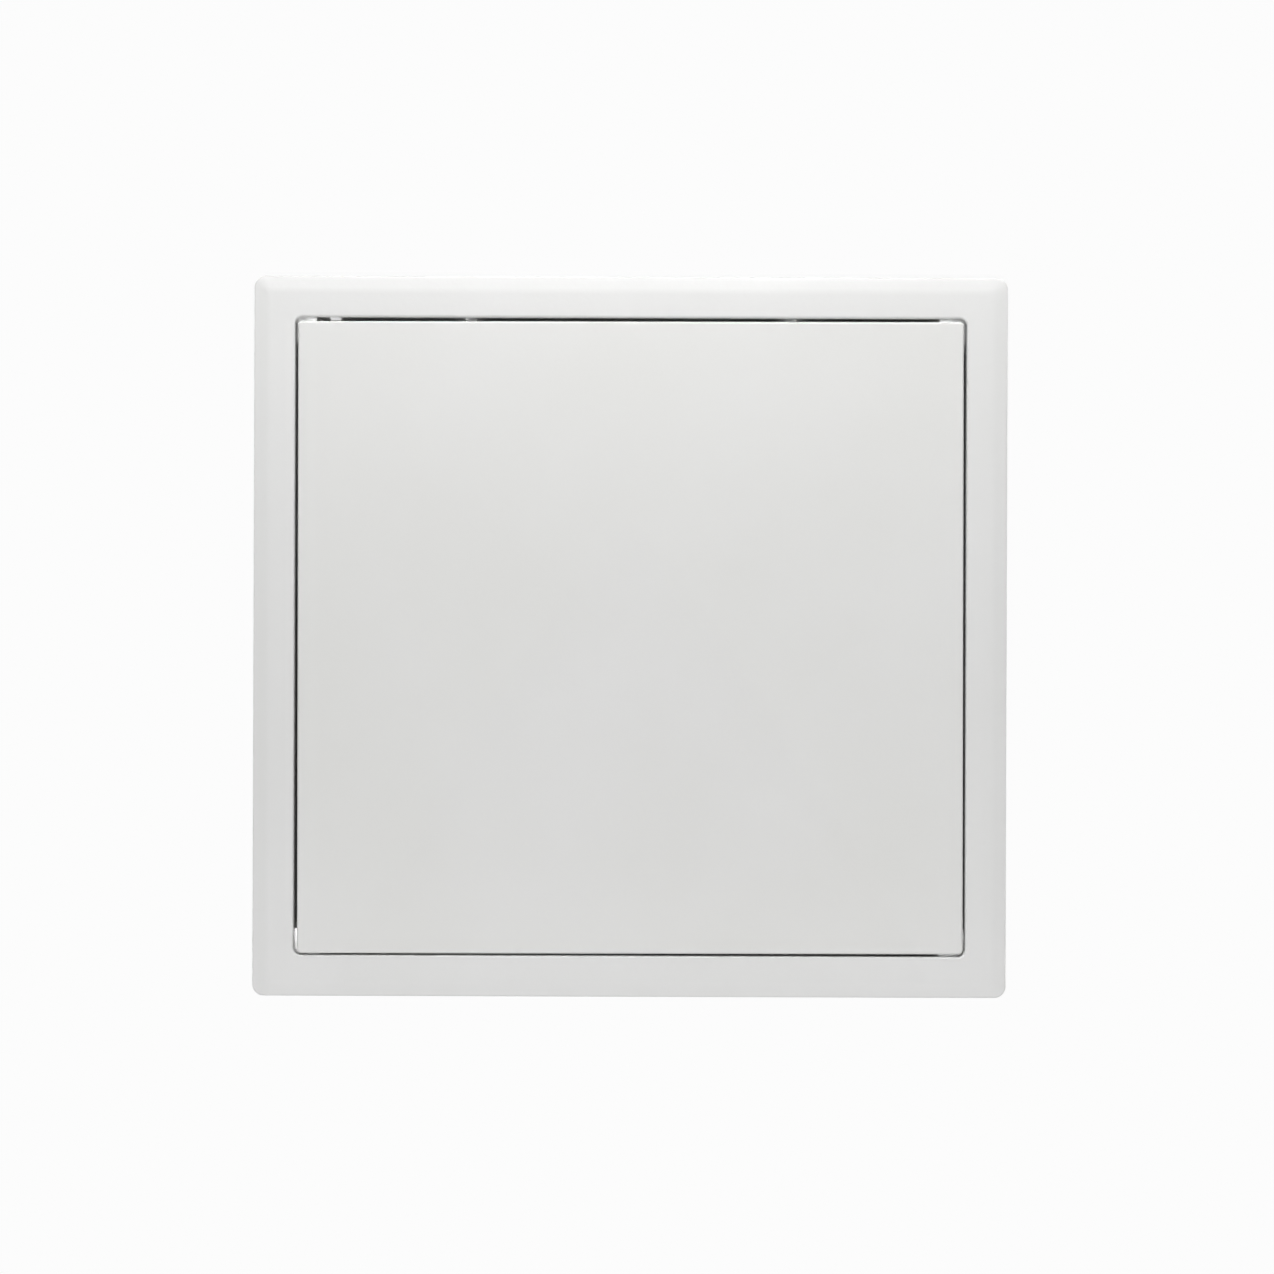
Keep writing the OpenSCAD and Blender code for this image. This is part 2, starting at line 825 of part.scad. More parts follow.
module latch_housing_left() {
    mirror([1, 0, 0])
        latch_housing_right();
}

module latch_cap_right() {
    color(nylon) {
        slab(house_back, house_back + cap_t)
            translate([latch_x, latch_z])
                rounded(latch_w, latch_h, latch_r);
        translate([latch_x, house_back + cap_t / 2, latch_z])
            rotate([90, 0, 0])
                cylinder(d = chamber_d - 2 * spigot_clear, h = spigot_len + cap_t / 2);
    }
}

module latch_cap_left() {
    mirror([1, 0, 0])
        latch_cap_right();
}

// Coil spring between the plunger's collar and the cap
function coil_point(i, j, n, m, y0, y1) =
    let (t = i / n, a = 360 * coil_turns * t, b = 360 * j / m, r = coil_d / 2 + wire_d / 2 * cos(b))
    [r * cos(a), y0 + (y1 - y0) * t + wire_d / 2 * sin(b), r * sin(a)];

module latch_spring_right() {
    n = 14 * coil_turns;
    m = 6;
    y0 = stem_y + coil_gap + wire_d / 2;
    y1 = spigot_y - coil_gap - wire_d / 2;
    color(steel)
        translate([latch_x, 0, latch_z])
            polyhedron(
                points = [for (i = [0:n], j = [0:m - 1]) coil_point(i, j, n, m, y0, y1)],
                faces = concat(
                    [[for (j = [0:m - 1]) j]],
                    [for (i = [0:n - 1], j = [0:m - 1])
                        [i * m + j, (i + 1) * m + j, (i + 1) * m + (j + 1) % m, i * m + (j + 1) % m]],
                    [[for (j = [m - 1:-1:0]) n * m + j]]
                )
            );
}

module latch_spring_left() {
    mirror([1, 0, 0])
        latch_spring_right();
}

// Plunger: magnet pocket, rod, retaining collar and spring guide
module latch_plunger_right() {
    color(nylon)
        translate([latch_x, 0, latch_z])
            rotate([-90, 0, 0])
                difference() {
                    union() {
                        translate([0, 0, tip_y])
                            cylinder(d = plunger_d, h = stem_y - tip_y);
                        translate([0, 0, collar_y])
                            cylinder(d = chamber_d - 2 * collar_clear, h = collar_len);
                        translate([0, 0, stem_y - 0.5])
                            cylinder(d = stem_d, h = stem_len + 0.5);
                    }
                    translate([0, 0, tip_y - 1])
                        cylinder(d = magnet_d + 2 * hole_fit, h = magnet_t - magnet_proud + 1);
                }
}

module latch_plunger_left() {
    mirror([1, 0, 0])
        latch_plunger_right();
}

module latch_magnet_right() {
    color(steel)
        translate([latch_x, magnet_y, latch_z])
            rotate([-90, 0, 0])
                cylinder(d = magnet_d, h = magnet_t);
}

module latch_magnet_left() {
    mirror([1, 0, 0])
        latch_magnet_right();
}

module latch_screws() {
    color(steel)
        both_ends()
            for (y = [-screw_span / 2, screw_span / 2])
                translate([clamp_x + clamp_t, screw_y + y, latch_z])
                    rotate([0, 90, 0]) {
                        cylinder(d = head_d, h = head_t);
                        translate([0, 0, -clamp_t - screw_bite])
                            cylinder(d = screw_d, h = clamp_t + screw_bite + head_t / 2);
                    }
}

module latch_rivets() {
    color(zinc)
        both_ends()
            for (y = [-screw_span / 2, screw_span / 2])
                translate([clamp_x + clamp_rivet, screw_y + y, clamp_t - opening_h / 2])
                    rotate([180, 0, 0])
                        rivet(clamp_t + sheet_t);
}

// Edge of the door tray: fold at the face, return and fold at the lip
module door_section() {
    polygon(concat(
        arc(door_core, face_y + door_bend, door_bend, -90, 0),
        arc(door_core, door_back - door_bend, door_bend, 0, 90),
        arc(door_core, door_back - door_bend, door_fold, 90, 0, 3),
        arc(door_core, face_y + door_bend, door_fold, 0, -90, 3)
    ));
}

module door_skin() {
    core_x = door_w / 2 - door_r;
    core_z = door_h / 2 - door_r;
    color(white)
        difference() {
            translate([door_side, 0, -door_low])
                difference() {
                    union() {
                        slab(face_y, skin_y)
                            rounded(door_w - 2 * door_bend, door_h - 2 * door_bend, door_core);
                        for (s = [0, 180])
                            rotate([0, s, 0]) {
                                run(-core_x, core_x, core_z)
                                    door_section();
                                translate([core_x, 0, core_z])
                                    turn(90)
                                        door_section();
                            }
                        for (s = [90, 270])
                            rotate([0, s, 0]) {
                                run(-core_z, core_z, core_x)
                                    door_section();
                                translate([core_z, 0, core_x])
                                    turn(90)
                                        door_section();
                            }
                        slab(door_back - door_t, door_back)
                            difference() {
                                rounded(door_w - 2 * door_bend, door_h - 2 * door_bend, door_core);
                                square([door_w - 2 * door_lip, door_h - 2 * door_lip], center = true);
                            }
                    }
                    for (x = [-1, 1], z = [-1, 1])
                        translate([x * (door_w / 2 - door_lip), 0, z * (door_h / 2 - door_lip)])
                            rotate([0, atan2(-z, x), 0])
                                translate([-1, door_back - door_t - 0.5, -lip_slit / 2])
                                    cube([(door_lip - door_bend) * sqrt(2) + 1, door_t + 1, lip_slit]);
                }
            for (x = [-hinge_x, hinge_x])
                translate([x - notch_w / 2, notch_y, door_top - door_lip - 1])
                    cube([notch_w, door_back - notch_y + 1, door_lip + 2]);
        }
}

// Hat-section stiffener: the points of its right half, and the same points mirrored
function hat_half() = concat(
    arc(hat_w / 2 - hat_r, hat_y - hat_r, hat_r, 90, 0),
    arc(hat_w / 2 + hat_bend, skin_y + hat_r, hat_bend, 180, 270),
    [[hat_w / 2 + hat_foot, skin_y + hat_t], [hat_w / 2 + hat_foot, skin_y]],
    arc(hat_w / 2 + hat_bend, skin_y + hat_r, hat_r, 270, 180),
    arc(hat_w / 2 - hat_r, hat_y - hat_r, hat_bend, 0, 90)
);

module hat_section() {
    half = hat_half();
    polygon(concat(half, [for (i = [len(half) - 1:-1:0]) [-half[i][0], half[i][1]]]));
}

module door_stiffener_right() {
    color(white)
        translate([hat_x, 0, 0])
            difference() {
                upright(hat_low, hat_high)
                    hat_section();
                for (x = [-strike_span / 2, strike_span / 2])
                    translate([x, hat_y + 1, latch_z])
                        rotate([90, 0, 0])
                            cylinder(d = screw_d + 2 * hole_fit, h = hat_t + 2);
            }
}

module door_stiffener_left() {
    mirror([1, 0, 0])
        door_stiffener_right();
}

module strike_plate_right() {
    color(steel)
        difference() {
            slab(hat_y, strike_y)
                translate([hat_x, latch_z])
                    rounded(strike_w, strike_h, strike_r);
            for (x = [-strike_span / 2, strike_span / 2])
                translate([hat_x + x, strike_y + 1, latch_z])
                    rotate([90, 0, 0])
                        cylinder(d = screw_d + 2 * hole_fit, h = strike_t + 2);
        }
}

module strike_plate_left() {
    mirror([1, 0, 0])
        strike_plate_right();
}

module strike_screws() {
    color(steel)
        both_ends()
            for (x = [-strike_span / 2, strike_span / 2])
                translate([hat_x + x, strike_y, latch_z])
                    rotate([-90, 0, 0]) {
                        cylinder(d = head_d, h = head_t);
                        translate([0, 0, -strike_t - hat_t - screw_tail])
                            cylinder(d = screw_d, h = strike_t + hat_t + screw_tail + head_t / 2);
                    }
}

frame_top_rail();
frame_bottom_rail();
frame_left_stile();
frame_right_stile();
stop_top();
stop_bottom();
stop_left();
stop_right();
seal_top();
seal_bottom();
seal_left();
seal_right();
corner_cleats();
hinge_bracket_left();
hinge_bracket_right();
hinge_pin_left();
hinge_pin_right();
hinge_clips();
hinge_rivets();
latch_bracket_left();
latch_bracket_right();
latch_housing_left();
latch_housing_right();
latch_cap_left();
latch_cap_right();
latch_spring_left();
latch_spring_right();
latch_plunger_left();
latch_plunger_right();
latch_magnet_left();
latch_magnet_right();
latch_screws();
latch_rivets();
door_skin();
door_stiffener_left();
door_stiffener_right();
hinge_leaf_left();
hinge_leaf_right();
strike_plate_left();
strike_plate_right();
strike_screws();
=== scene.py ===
import math

import bmesh
import bpy
from mathutils import Matrix, Vector, noise

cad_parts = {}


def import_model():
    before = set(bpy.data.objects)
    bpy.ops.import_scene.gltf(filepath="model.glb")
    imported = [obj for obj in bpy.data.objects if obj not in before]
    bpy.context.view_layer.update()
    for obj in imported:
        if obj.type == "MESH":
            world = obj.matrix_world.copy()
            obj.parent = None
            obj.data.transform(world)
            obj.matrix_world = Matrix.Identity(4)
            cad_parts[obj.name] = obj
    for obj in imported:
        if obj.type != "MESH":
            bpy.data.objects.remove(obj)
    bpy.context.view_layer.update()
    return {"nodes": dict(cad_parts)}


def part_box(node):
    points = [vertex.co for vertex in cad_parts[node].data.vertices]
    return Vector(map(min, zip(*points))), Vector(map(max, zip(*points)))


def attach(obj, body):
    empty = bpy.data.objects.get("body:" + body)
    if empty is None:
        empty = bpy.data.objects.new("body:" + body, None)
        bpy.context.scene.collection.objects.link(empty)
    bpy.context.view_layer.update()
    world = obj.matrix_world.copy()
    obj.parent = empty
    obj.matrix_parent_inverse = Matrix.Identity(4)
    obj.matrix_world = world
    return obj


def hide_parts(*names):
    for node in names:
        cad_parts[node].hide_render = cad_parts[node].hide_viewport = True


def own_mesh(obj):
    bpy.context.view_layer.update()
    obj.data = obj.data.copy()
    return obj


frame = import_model()
MM = 0.001
HANDS = (("left", -1), ("right", 1))

# Surround, as the solids have it, in millimetres
OPEN_W = 400.0
OPEN_H = 380.0
FLANGE_W = 24.5
RISE = 4.0  # from the ceiling to the face
SHEET_T = 1.0
OUTER_R = 7.0  # outer corner, and width of the bevel
OPEN_R = 4.5  # corner of the opening
SOFT_R = 2.0  # corner of the line where the bevel starts
BREAK_R = 18.0  # bend from the flat into the bevel
EDGE_R = 1.2  # rolled edge of the hem
EDGE_FLAT = 0.1  # straight bit of the rolled edge
BEND_R = 1.5  # bend from the flat into the web
HEM_W = 6.0
WEB_BACK = 52.0
WEB_LINES = (46.0, 36.0, 18.0, 4.0)
FLAT_LINES = (6.0, 11.0)
FIX_D = 5.0
FIX_Y = 41.0
FIX_SPAN_X = 290.0
FIX_SPAN_Z = 240.0

# Stops, welds and door
STOP_T = 1.2
STOP_WELD_Y = 27.5
STOP_WELD_END = 34.0  # from the end of the opening to the first spot weld
WELD_MARK_R = 3.0
BEAD_FIRST = 1.0
BEAD_RUN = 49.0
BEAD_HALF_W = 1.5
BEAD_HALF_H = 0.62
BEAD_SINK = 0.05
BEAD_RIPPLE = 1.5
FOAM_STEP = 6.0
DOOR_LINES = 22
DOOR_FACE_DEPTH = 1.4  # takes in both sides of the face sheet
DOOR_BOW = 0.30
DOOR_SKEW = 0.08  # degrees
HAT_FOOT_X = 19.0
HAT_FOOT_Y = -1.8
HAT_WELD_END = 22.0
HAT_WELDS = 7

# Hinges, latches and fasteners
HINGE_X = 96.0
HINGE_Y = 1.0
HINGE_Z = 179.8
HINGE_FOOT_T = 2.0
HINGE_RIVET_X = 9.0
RING_X = 5.1  # from the hinge's middle to its star ring
LATCH_X = 96.0
LATCH_Z = -168.7
LATCH_HALF_H = 8.0
LATCH_HALF_W = 9.0
LATCH_FRONT_Y = 21.0
LATCH_BACK_Y = 51.0
LATCH_FOOT_T = 1.5
LATCH_RIVET_X = 21.0
LATCH_SCREW_X = 10.5
LATCH_FIX_Y = 4.0
BRACKET_Y = 39.5  # middle of the brackets' feet
STRIKE_Y = 16.7
STRIKE_SCREW_X = 8.0


# Materials

class Finish:
    """A node material with one shader, read on Object coordinates."""

    def __init__(self, name, **values):
        self.material = bpy.data.materials.new(name)
        self.material.use_nodes = True
        self.tree = self.material.node_tree
        self.shader = self.tree.nodes["Principled BSDF"]
        self.place = self.tree.nodes.new("ShaderNodeTexCoord").outputs["Object"]
        for socket, value in values.items():
            self.shader.inputs[socket.replace("_", " ")].default_value = value

    def node(self, kind, **values):
        made = self.tree.nodes.new(kind)
        for key, value in values.items():
            if hasattr(made, key):
                setattr(made, key, value)
            else:
                made.inputs[key.replace("_", " ")].default_value = value
        return made

    def link(self, a, b):
        self.tree.links.new(a, b)

    def stretched(self, scale):
        mapping = self.node("ShaderNodeMapping")
        mapping.inputs["Scale"].default_value = scale
        self.link(self.place, mapping.inputs["Vector"])
        return mapping.outputs["Vector"]

    def grain(self, scale, detail=2.0, roughness=0.5, place=None):
        made = self.node("ShaderNodeTexNoise", Scale=scale, Detail=detail, Roughness=roughness)
        self.link(place or self.place, made.inputs["Vector"])
        return made.outputs["Fac"]

    def cells(self, scale):
        made = self.node("ShaderNodeTexVoronoi", Scale=scale)
        self.link(self.place, made.inputs["Vector"])
        return made.outputs

    def spread(self, value, low, high, a=0.3, b=0.7):
        made = self.node("ShaderNodeMapRange")
        for key, number in (("From Min", a), ("From Max", b), ("To Min", low), ("To Max", high)):
            made.inputs[key].default_value = number
        self.link(value, made.inputs["Value"])
        return made.outputs["Result"]

    def tones(self, value, stops):
        ramp = self.node("ShaderNodeValToRGB")
        band = ramp.color_ramp
        while len(band.elements) < len(stops):
            band.elements.new(0.5)
        for element, (at, colour) in zip(band.elements, stops):
            element.position = at
            element.color = (*colour, 1)
        self.link(value, ramp.inputs["Fac"])
        return ramp.outputs["Color"]

    def colour(self, socket):
        self.link(socket, self.shader.inputs["Base Color"])

    def rough(self, socket):
        self.link(socket, self.shader.inputs["Roughness"])

    def relief(self, *layers):
        """Bumps from coarse to fine, each (height, strength, depth in metres)."""
        before = None
        for height, strength, depth in layers:
            bump = self.node("ShaderNodeBump", Strength=strength, Distance=depth)
            self.link(height, bump.inputs["Height"])
            if before:
                self.link(before, bump.inputs["Normal"])
            before = bump.outputs["Normal"]
        self.link(before, self.shader.inputs["Normal"])


def shade(value, warm=0.0):
    """A near-neutral colour from its 8-bit level, in linear light; warm takes levels off the blue."""
    def linear(v):
        v /= 255
        return v / 12.92 if v <= 0.04045 else ((v + 0.055) / 1.055) ** 2.4
    return (linear(value), linear(value), linear(value - warm))


def powder_coat(name, level, warm):
    """Satin coat with cloudy tone and fine orange peel."""
    made = Finish(name, Specular_IOR_Level=0.5)
    clouds = [(0.3, shade(level - 1.5, warm)), (0.7, shade(level + 1.0, warm * 0.6))]
    made.colour(made.tones(made.grain(9.0, 3.0), clouds))
    made.rough(made.spread(made.grain(160.0, 2.0), 0.38, 0.46))
    made.relief((made.grain(420.0, 1.0), 0.10, 0.00025), (made.grain(1500.0, 2.0, 0.55), 0.12, 0.00008))
    return made.material


def foam_rubber():
    """Black closed-cell foam with open pores on its cut face."""
    made = Finish("black_foam", Specular_IOR_Level=0.25)
    pores = made.cells(1500.0)["Distance"]
    blacks = [(0.0, (0.006, 0.006, 0.0065)), (0.45, (0.018, 0.018, 0.019)), (0.9, (0.034, 0.034, 0.035))]
    made.colour(made.tones(pores, blacks))
    made.rough(made.spread(made.grain(700.0), 0.82, 0.96))
    made.relief((made.grain(180.0, 3.0), 0.35, 0.0006), (pores, 0.8, 0.0004))
    return made.material


def zinc_plate():
    """Plated sheet with a fine spangle and the drawn lines of rolling."""
    made = Finish("zinc_plate", Metallic=1.0)
    flecks = made.node("ShaderNodeSeparateColor")
    made.link(made.cells(420.0)["Color"], flecks.inputs["Color"])
    greys = [(0.0, (0.57, 0.59, 0.62)), (0.55, (0.64, 0.66, 0.69)), (1.0, (0.71, 0.72, 0.74))]
    made.colour(made.tones(flecks.outputs["Red"], greys))
    made.rough(made.spread(flecks.outputs["Green"], 0.30, 0.46, 0.0, 1.0))
    drawn = made.grain(900.0, 3.0, 0.6, made.stretched((1.0, 0.06, 1.0)))
    made.relief((made.grain(60.0, 2.0), 0.08, 0.0006), (drawn, 0.10, 0.00006))
    return made.material


def turned_metal(name, dark, light, low, high):
    """Bright metal with fine tool lines; low and high bound its roughness."""
    made = Finish(name, Metallic=1.0)
    made.colour(made.tones(made.grain(240.0, 3.0), [(0.3, dark), (0.7, light)]))
    made.rough(made.spread(made.grain(700.0, 2.0), low, high))
    lines = made.grain(2400.0, 2.0, 0.6, made.stretched((1.0, 0.25, 1.0)))
    made.relief((lines, 0.10, 0.00004))
    return made.material


def moulded(name, dark, light, rough):
    """Plastic with a faint sink of its walls and the spark-eroded grain of its mould."""
    made = Finish(name, Specular_IOR_Level=0.45)
    made.colour(made.tones(made.grain(70.0, 3.0), [(0.3, dark), (0.7, light)]))
    made.rough(made.spread(made.grain(900.0), rough - 0.05, rough + 0.06))
    made.relief((made.grain(45.0, 1.0), 0.10, 0.0005), (made.cells(2600.0)["Distance"], 0.16, 0.00005))
    return made.material


FRAME_COAT = powder_coat("surround_coat", 223.5, 1.0)
DOOR_COAT = powder_coat("door_coat", 223.3, 2.0)
FOAM = foam_rubber()
ZINC = zinc_plate()
STEEL = turned_metal("plated_steel", (0.44, 0.45, 0.47), (0.60, 0.61, 0.63), 0.22, 0.34)
NICKEL = turned_metal("nickel", (0.50, 0.49, 0.47), (0.62, 0.61, 0.58), 0.12, 0.22)
ALUMINIUM = turned_metal("rivet_aluminium", (0.62, 0.63, 0.64), (0.78, 0.78, 0.79), 0.30, 0.42)
HOUSING = moulded("housing_nylon", shade(206, 4), shade(220, 4), 0.48)
PLUNGER = moulded("plunger_acetal", (0.014, 0.014, 0.016), (0.026, 0.026, 0.028), 0.36)


# Working of shapes

def merged_copy(node):
    """The node's own mesh with its loose triangles joined and its flat faces made whole."""
    shape = bmesh.new()
    shape.from_mesh(frame["nodes"][node].data)
    bmesh.ops.remove_doubles(shape, verts=shape.verts, dist=2e-6)
    bmesh.ops.dissolve_limit(shape, angle_limit=math.radians(0.3), verts=shape.verts, edges=shape.edges)
    return shape


def rounded(shape, edges, width, segments):
    """Rounds edges over a width in millimetres."""
    bmesh.ops.bevel(shape, geom=edges, offset=width * MM, offset_type="OFFSET", affect="EDGES",
                    segments=segments, profile=0.5, material=-1, clamp_overlap=True)


def eased(shape, width, angle=40.0):
    """Takes the sharpness off the edges."""
    whole = [e for e in shape.edges if len(e.link_faces) == 2]
    rounded(shape, [e for e in whole if e.calc_face_angle() > math.radians(angle)], width, 2)
    return shape


def piece(shape, name, finish, body, slot, *nodes, split=42.0):
    """A finished piece from its shape: smooth where it curves, on its body and in its node's place."""
    for face in shape.faces:
        face.smooth = True
    for edge in shape.edges:
        edge.smooth = len(edge.link_faces) == 2 and edge.calc_face_angle() < math.radians(split)
    mesh = bpy.data.meshes.new(name)
    shape.to_mesh(mesh)
    shape.free()
    made = bpy.data.objects.new(name, mesh)
    bpy.context.scene.collection.objects.link(made)
    mesh.materials.append(finish)
    even = made.modifiers.new("even_normals", "WEIGHTED_NORMAL")
    even.keep_sharp = True
    even.weight = 60
    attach(made, body)
    if nodes:
        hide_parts(*nodes)
    return made


def worked(node, name, width, finish, body, slot):
    """A node's own shape with its edges eased."""
    piece(eased(merged_copy(node), width), name, finish, body, slot, node)


def lines_across(shape, axis, places):
    """Cuts the faces along planes, so that they can bend there."""
    normal = Vector((0, 0, 0))
    normal[axis] = 1
    for at in places:
        bmesh.ops.bisect_plane(shape, geom=shape.verts[:] + shape.edges[:] + shape.faces[:],
                               dist=1e-6, plane_co=normal * at * MM, plane_no=normal)


def lathe(shape, outline, steps, place, loop=False):
    """Spins an outline of (radius, height) round its axis and puts it in its place."""
    before = set(shape.verts)
    chain = [shape.verts.new((r * MM, 0, h * MM)) for r, h in outline]
    edges = [shape.edges.new(pair) for pair in zip(chain, chain[1:] + chain[:1] if loop else chain[1:])]
    bmesh.ops.spin(shape, geom=chain + edges, cent=(0, 0, 0), axis=(0, 0, 1), dvec=(0, 0, 0),
                   angle=math.tau, steps=steps, use_merge=True, use_duplicate=False)
    made = [v for v in shape.verts if v not in before]
    bmesh.ops.remove_doubles(shape, verts=made, dist=1e-6)
    made = [v for v in shape.verts if v not in before]
    bmesh.ops.recalc_face_normals(shape, faces=list({f for v in made for f in v.link_faces}))
    bmesh.ops.transform(shape, matrix=place, verts=made)


def block(shape, low, high):
    """A box between two corners in millimetres."""
    size = (Vector(high) - Vector(low)) * MM
    middle = (Vector(high) + Vector(low)) / 2 * MM
    bmesh.ops.create_cube(shape, size=1.0, matrix=Matrix.Translation(middle) @ Matrix.Diagonal((*size, 1)))


def facing(x, y, z, direction):
    """A place at a point in millimetres, with its axis along a direction."""
    turn = Vector(direction).to_track_quat("Z", "Y").to_matrix().to_4x4()
    return Matrix.Translation(Vector((x, y, z)) * MM) @ turn


def cut(target, cutter, crossed=False):
    """Takes one shape out of another; crossed is for a cutter whose parts run through each other."""
    things = []
    for label, shape in (("stock", target), ("cutter", cutter)):
        mesh = bpy.data.meshes.new(label)
        shape.to_mesh(mesh)
        shape.free()
        thing = bpy.data.objects.new(label, mesh)
        bpy.context.scene.collection.objects.link(thing)
        things.append(thing)
    stock, tool = things
    saw = stock.modifiers.new("cut", "BOOLEAN")
    saw.operation = "DIFFERENCE"
    saw.solver = "EXACT"
    saw.use_self = crossed
    saw.object = tool
    bpy.context.view_layer.update()
    done = bpy.data.meshes.new_from_object(stock.evaluated_get(bpy.context.evaluated_depsgraph_get()))
    shape = bmesh.new()
    shape.from_mesh(done)
    for thing in things:
        mesh = thing.data
        bpy.data.objects.remove(thing)
        bpy.data.meshes.remove(mesh)
    bpy.data.meshes.remove(done)
    return shape


# Surround

def bevel_angle():
    """The lean of the bevel, which takes up the rise that the hemmed edge leaves."""
    lean = math.radians(12)
    for turn in range(12):
        rise = RISE - BREAK_R * (1 - math.cos(lean)) - EDGE_R * (1 + math.cos(lean)) - EDGE_FLAT
        lean = math.atan(rise / (OUTER_R - EDGE_R * (1 - math.sin(lean))))
    return math.degrees(lean)


def flange_section():
    """The show side of the sheet from the back of the web to the end of the hem, as (outward, back)."""
    def arc(u, y, r, a, b, n):
        turns = [math.radians(a + (b - a) * i / n) for i in range(n + 1)]
        return [(u + r * math.cos(t), y + r * math.sin(t)) for t in turns]
    lean = bevel_angle()
    break_u = FLANGE_W - OUTER_R - BREAK_R * math.sin(math.radians(lean))
    edge_u = FLANGE_W - EDGE_R
    points = [(0, WEB_BACK)] + [(0, y) for y in WEB_LINES]
    points += arc(BEND_R, BEND_R - RISE, BEND_R, 180, 270, 8)
    points += [(u, -RISE) for u in FLAT_LINES]
    points += arc(break_u, BREAK_R - RISE, BREAK_R, -90, lean - 90, 6)
    points += arc(edge_u, -EDGE_R - EDGE_FLAT, EDGE_R, lean - 90, 0, 8)
    points += arc(edge_u, -EDGE_R, EDGE_R, 0, 90, 8)
    points += [(FLANGE_W - HEM_W, 0)]
    return points


def corner_of(u, clear, span):
    """Centre and radius of a line's turn at the corner, by its distance outward."""
    inner, outer = BEND_R, FLANGE_W - OUTER_R
    if u <= inner:
        radius = OPEN_R + u
    elif u >= outer:
        radius = SOFT_R + (u - outer) * (OUTER_R - SOFT_R) / OUTER_R
    else:
        radius = SOFT_R + (OPEN_R + inner - SOFT_R) * (outer - u) / (outer - inner)
    return clear / 2 + u - radius, span / 2 + u - radius, radius


def rail(name, node, clear, span, turn, hole_span):
    """One rail of the surround, drawn in the top place between its mitres and then turned to its side."""
    section = flange_section()
    steps, runs, mitre_strip = 11, 16, 0.3
    turns = [45.0, 45.0 - mitre_strip] + [45.0 * i / steps for i in range(steps - 1, 0, -1)]
    columns = [("left", a) for a in turns] + [("run", i / runs) for i in range(runs + 1)] \
        + [("right", a) for a in reversed(turns)]
    shape = bmesh.new()
    bmesh.ops.create_grid(shape, x_segments=len(columns) - 1, y_segments=len(section) - 1, size=0.5)
    for vert in shape.verts:
        kind, value = columns[round((vert.co.x + 0.5) * (len(columns) - 1))]
        u, y = section[round((vert.co.y + 0.5) * (len(section) - 1))]
        cx, cz, radius = corner_of(u, clear, span)
        if kind == "run":
            x, z = -cx + 2 * cx * value, cz + radius
        else:
            side = -1 if kind == "left" else 1
            x = side * (cx + radius * math.sin(math.radians(value)))
            z = cz + radius * math.cos(math.radians(value))
        vert.co = Vector((x, y, z)) * MM
    bmesh.ops.remove_doubles(shape, verts=shape.verts, dist=1e-6)
    bmesh.ops.recalc_face_normals(shape, faces=shape.faces)
    shape.faces.ensure_lookup_table()
    face = min(shape.faces, key=lambda f: f.calc_center_median().y)
    if face.normal.y > 0:
        bmesh.ops.reverse_faces(shape, faces=shape.faces)
    bmesh.ops.solidify(shape, geom=shape.faces, thickness=SHEET_T * MM)
    drill = bmesh.new()
    for x in (-hole_span / 2, hole_span / 2):
        place = Matrix.Translation(Vector((x, FIX_Y, span / 2)) * MM)
        bmesh.ops.create_cone(drill, cap_ends=True, segments=40, radius1=FIX_D / 2 * MM,
                              radius2=FIX_D / 2 * MM, depth=8 * MM, matrix=place)
    shape = cut(shape, drill)
    bmesh.ops.transform(shape, matrix=Matrix.Rotation(math.radians(turn), 4, "Y"), verts=shape.verts)
    piece(shape, name, FRAME_COAT, "frame", "painted", node)


rail("top_rail", "frame_top_rail", OPEN_W, OPEN_H, 0, FIX_SPAN_X)
rail("bottom_rail", "frame_bottom_rail", OPEN_W, OPEN_H, 180, FIX_SPAN_X)
rail("right_stile", "frame_right_stile", OPEN_H, OPEN_W, 90, FIX_SPAN_Z)
rail("left_stile", "frame_left_stile", OPEN_H, OPEN_W, -90, FIX_SPAN_Z)


# Stops, cleats, welds and seals

def dented(shape, places, depth, ball_r=8.0):
    """Presses the round marks of spot welds into a face; each place is (point, direction out of the face)."""
    tools = bmesh.new()
    radii = (0, 0.6, 1.2, 1.7, 2.1, 2.5, WELD_MARK_R)
    outline = [(r, ball_r - depth - math.sqrt(ball_r ** 2 - r ** 2)) for r in radii]
    outline += [(WELD_MARK_R, 0.5), (0, 0.5)]
    for point, out in places:
        lathe(tools, outline, 28, facing(*point, out))
    return cut(shape, tools)


def stop_angle(side, welds):
    """A stop angle with a row of spot-weld marks on its leg."""
    level = side in ("top", "bottom")
    sign = 1 if side in ("top", "right") else -1
    half, face = (OPEN_W / 2, OPEN_H / 2) if level else (OPEN_H / 2, OPEN_W / 2)
    leg = sign * (face - STOP_T)
    marks = []
    for n in range(welds):
        along = (half - STOP_WELD_END) * (2 * n / (welds - 1) - 1)
        point = (along, STOP_WELD_Y, leg) if level else (leg, STOP_WELD_Y, along)
        marks.append((point, (0, 0, -sign) if level else (-sign, 0, 0)))
    shape = eased(dented(merged_copy("stop_" + side), marks, 0.28), 0.18)
    piece(shape, side + "_stop_angle", FRAME_COAT, "frame", "painted", "stop_" + side)


